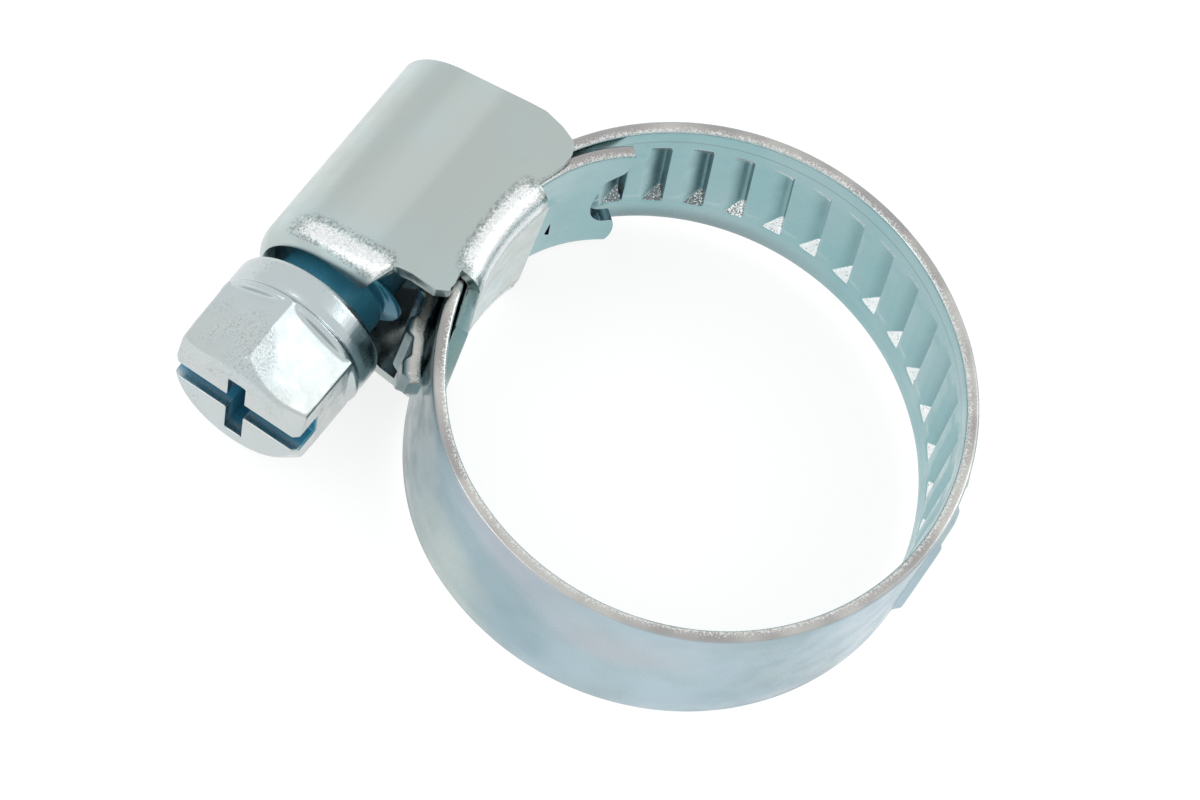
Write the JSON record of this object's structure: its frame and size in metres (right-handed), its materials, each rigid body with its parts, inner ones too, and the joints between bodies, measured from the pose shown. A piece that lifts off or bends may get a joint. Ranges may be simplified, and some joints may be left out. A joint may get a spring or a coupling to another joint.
{
  "type": "worm-drive hose clamp",
  "caption": "Round steel band clamp with a worm screw in a folded housing; turning the slotted hex head draws the toothed band end through to close the ring.",
  "frame": {"origin": "centre of the ring at mid-width, on the hose's axis", "axes": "+Z along the hose's axis; +X along the screw, away from its head; +Y from the ring's centre out through the housing"},
  "size_m": [0.0263, 0.0339, 0.0108],
  "materials": {
    "zinc_band": "smooth zinc-plated strip, bluish, bright sheared rims",
    "zinc_housing": "satin zinc-plated pressed sheet, bright bends",
    "zinc_screw": "zinc-plated steel, smooth flats, blue in the recesses"
  },
  "bodies": {
    "housing_and_fixed_end": {"screw_housing": "zinc_housing", "band_fixed_end": "zinc_band"},
    "screw": {"hex_screw": "zinc_screw"},
    "band_toothed": {"band_toothed_end": "zinc_band"},
    "band_strip_01": {"band_link_01": "zinc_band"},
    "band_strip_02": {"band_link_02": "zinc_band"},
    "band_strip_03": {"band_link_03": "zinc_band"},
    "band_strip_04": {"band_link_04": "zinc_band"},
    "band_strip_05": {"band_link_05": "zinc_band"},
    "band_strip_06": {"band_link_06": "zinc_band"},
    "band_strip_07": {"band_link_07": "zinc_band"}
  },
  "joints": [
    {"name": "screw_turn", "type": "hinge", "parent": "housing_and_fixed_end", "child": "screw", "pos_m": [-0.00295, 0.01655, 0], "axis": [1, 0, 0], "range_deg": [-1080, 3600]},
    {"name": "band_feed", "type": "hinge", "parent": "housing_and_fixed_end", "child": "band_toothed", "pos_m": [-0.00015, 0.00016, 0], "axis": [0, 0, 1], "range_deg": [-27.95, 92]},
    {"name": "band_bend_01", "type": "hinge", "parent": "housing_and_fixed_end", "child": "band_strip_01", "pos_m": [-0.00619, 0.01048, 0], "axis": [0, 0, 1], "range_deg": [-5.55, 17.34]},
    {"name": "band_bend_02", "type": "hinge", "parent": "band_strip_01", "child": "band_strip_02", "pos_m": [-0.01065, 0.00666, 0], "axis": [0, 0, 1], "range_deg": [-4.18, 12.76]},
    {"name": "band_bend_03", "type": "hinge", "parent": "band_strip_02", "child": "band_strip_03", "pos_m": [-0.01256, 0.001, 0], "axis": [0, 0, 1], "range_deg": [-3.11, 9.19]},
    {"name": "band_bend_04", "type": "hinge", "parent": "band_strip_03", "child": "band_strip_04", "pos_m": [-0.01161, -0.0049, 0], "axis": [0, 0, 1], "range_deg": [-2.67, 7.73]},
    {"name": "band_bend_05", "type": "hinge", "parent": "band_strip_04", "child": "band_strip_05", "pos_m": [-0.00804, -0.0097, 0], "axis": [0, 0, 1], "range_deg": [-2.81, 8.19]},
    {"name": "band_bend_06", "type": "hinge", "parent": "band_strip_05", "child": "band_strip_06", "pos_m": [-0.00266, -0.01231, 0], "axis": [0, 0, 1], "range_deg": [-3.38, 10.11]},
    {"name": "band_bend_07", "type": "hinge", "parent": "band_strip_06", "child": "band_strip_07", "pos_m": [0.00331, -0.01216, 0], "axis": [0, 0, 1], "range_deg": [-4.34, 13.31]}
  ],
  "couplings": [
    {"joint": "band_feed", "follows": "screw_turn", "ratio": 0.025417},
    {"joint": "band_bend_01", "follows": "screw_turn", "ratio": 0.0046767},
    {"joint": "band_bend_02", "follows": "screw_turn", "ratio": 0.0034058},
    {"joint": "band_bend_03", "follows": "screw_turn", "ratio": 0.0024146},
    {"joint": "band_bend_04", "follows": "screw_turn", "ratio": 0.0020079},
    {"joint": "band_bend_05", "follows": "screw_turn", "ratio": 0.002135},
    {"joint": "band_bend_06", "follows": "screw_turn", "ratio": 0.0026688},
    {"joint": "band_bend_07", "follows": "screw_turn", "ratio": 0.0035583}
  ]
}
